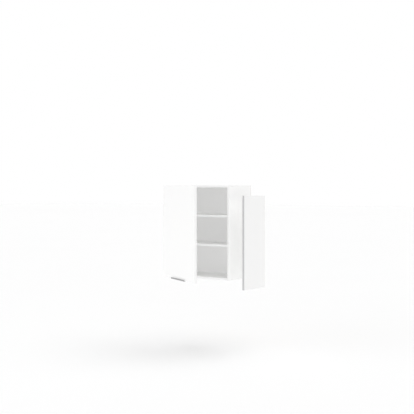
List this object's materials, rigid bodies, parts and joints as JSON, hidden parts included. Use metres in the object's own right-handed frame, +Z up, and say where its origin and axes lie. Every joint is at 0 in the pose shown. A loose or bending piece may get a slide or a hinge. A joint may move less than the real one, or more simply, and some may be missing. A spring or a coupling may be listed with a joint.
{
  "type": "hanging wall cabinet",
  "caption": "Wall-hung board cabinet with a full-width door hinged on the left, fixed-height shelves, an edge pull, hidden hangers and a loose side cover panel.",
  "frame": {"origin": "on the wall plane (outer face of the back panel), midway between the two hangers, at the height where their hooks bear on the wall plates, 45 mm under the top", "axes": "+X to the right seen from the room, +Y back into the wall, +Z up; the door faces -Y"},
  "size_m": [0.7247, 0.6132, 0.765],
  "materials": {
    "carcass_melamine": "white melamine-faced chipboard, fine matt texture",
    "door_melamine": "white melamine-faced chipboard door, smooth matt",
    "cover_melamine": "white melamine-faced chipboard",
    "grey_edge_band": "grey ABS edge band",
    "back_hardboard": "white lacquered hardboard, 3 mm",
    "handle_aluminium": "satin anodised",
    "bumper_rubber": "clear polyurethane",
    "hanger_plastic": "white moulded",
    "hinge_nickel": "nickel plated pressed steel",
    "pin_nickel": "nickel plated",
    "screw_zinc": "zinc plated"
  },
  "bodies": {
    "cabinet": {"back_panel": "back_hardboard", "bottom_panel": "carcass_melamine", "carcass_screw_left_bottom_front": "screw_zinc", "carcass_screw_left_bottom_rear": "screw_zinc", "carcass_screw_left_top_front": "screw_zinc", "carcass_screw_left_top_rear": "screw_zinc", "carcass_screw_right_bottom_front": "screw_zinc", "carcass_screw_right_bottom_rear": "screw_zinc", "carcass_screw_right_top_front": "screw_zinc", "carcass_screw_right_top_rear": "screw_zinc", "hanger_depth_screw_left": "screw_zinc", "hanger_depth_screw_right": "screw_zinc", "hanger_height_screw_left": "screw_zinc", "hanger_height_screw_right": "screw_zinc", "hanger_hook_left": "screw_zinc", "hanger_hook_right": "screw_zinc", "hanger_housing_left": "hanger_plastic", "hanger_housing_right": "hanger_plastic", "hinge_arm_lower": "hinge_nickel", "hinge_arm_upper": "hinge_nickel", "hinge_plate_lower": "hinge_nickel", "hinge_plate_upper": "hinge_nickel", "left_side_panel": "carcass_melamine", "lower_shelf": "carcass_melamine", "plate_screw_lower_above": "screw_zinc", "plate_screw_lower_below": "screw_zinc", "plate_screw_upper_above": "screw_zinc", "plate_screw_upper_below": "screw_zinc", "right_side_panel": "carcass_melamine", "shelf_pin_lower_left_front": "pin_nickel", "shelf_pin_lower_left_rear": "pin_nickel", "shelf_pin_lower_right_front": "pin_nickel", "shelf_pin_lower_right_rear": "pin_nickel", "shelf_pin_upper_left_front": "pin_nickel", "shelf_pin_upper_left_rear": "pin_nickel", "shelf_pin_upper_right_front": "pin_nickel", "shelf_pin_upper_right_rear": "pin_nickel", "top_panel": "carcass_melamine", "upper_shelf": "carcass_melamine"},
    "door": {"cup_screw_lower_above": "screw_zinc", "cup_screw_lower_below": "screw_zinc", "cup_screw_upper_above": "screw_zinc", "cup_screw_upper_below": "screw_zinc", "door_bumper_lower": "bumper_rubber", "door_bumper_upper": "bumper_rubber", "door_handle": "handle_aluminium", "door_panel": "door_melamine", "handle_screw_left": "screw_zinc", "handle_screw_right": "screw_zinc", "hinge_cup_lower": "hinge_nickel", "hinge_cup_upper": "hinge_nickel", "hinge_pin_lower": "screw_zinc", "hinge_pin_upper": "screw_zinc"},
    "cover_panel_loose": {"cover_panel": "cover_melamine", "cover_panel_edge_band": "grey_edge_band"}
  },
  "joints": [
    {"name": "door_hinge", "type": "hinge", "parent": "cabinet", "child": "door", "pos_m": [-0.291, -0.311, -0.305], "axis": [0, 0, -1], "range_deg": [-30, 65]},
    {"name": "cover_panel_fit", "type": "slide", "parent": "cabinet", "child": "cover_panel_loose", "axis": [-0.8297, -0.1005, 0.549], "range_m": [0, 0.12932]}
  ]
}
